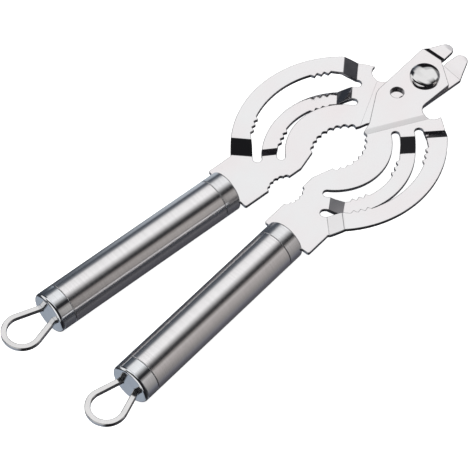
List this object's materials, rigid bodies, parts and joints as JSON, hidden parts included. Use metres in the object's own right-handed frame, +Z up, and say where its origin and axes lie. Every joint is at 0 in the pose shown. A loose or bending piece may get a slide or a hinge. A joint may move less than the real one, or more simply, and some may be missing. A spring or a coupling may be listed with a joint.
{
  "type": "manual can opener",
  "caption": "Plier-like multi-size jar, bottle and crown-cap opener: crossed stamped steel plates on a rivet, round tube handles with hanging loops.",
  "frame": {"origin": "under the middle of the tool's length and width, on the surface that its two tubes rest on", "axes": "+X towards the two prongs along the middle line between the handles, +Y across the tool towards the left plate, +Z up, normal to the plates"},
  "size_m": [0.2629, 0.0982, 0.02],
  "materials": {
    "mirror_steel": "mirror-polished stainless steel sheet",
    "rivet_steel": "polished stainless steel",
    "brushed_steel": "drawn stainless tube, brushed along its length",
    "ferrule_steel": "brushed stainless steel",
    "cap_steel": "brushed rim and satin face",
    "loop_steel": "polished flat strip",
    "pin_steel": "plain turned steel",
    "core_nylon": "moulded glass-filled nylon"
  },
  "bodies": {
    "left_half": {"left_plate": "mirror_steel", "pivot_rivet": "rivet_steel", "pivot_washer": "rivet_steel", "left_front_ferrule": "ferrule_steel", "left_handle_tube": "brushed_steel", "left_end_cap": "cap_steel", "left_tang_core": "core_nylon", "left_tang_pin": "pin_steel", "left_loop_retainer": "core_nylon", "left_hanging_loop": "loop_steel"},
    "right_half": {"right_plate": "mirror_steel", "right_front_ferrule": "ferrule_steel", "right_handle_tube": "brushed_steel", "right_end_cap": "cap_steel", "right_tang_core": "core_nylon", "right_tang_pin": "pin_steel", "right_loop_retainer": "core_nylon", "right_hanging_loop": "loop_steel"}
  },
  "joints": [
    {"name": "jaw_pivot", "type": "hinge", "parent": "left_half", "child": "right_half", "pos_m": [0.10789, 0, 0.01], "axis": [0, 0, 1], "range_deg": [-4.6, 45]}
  ]
}
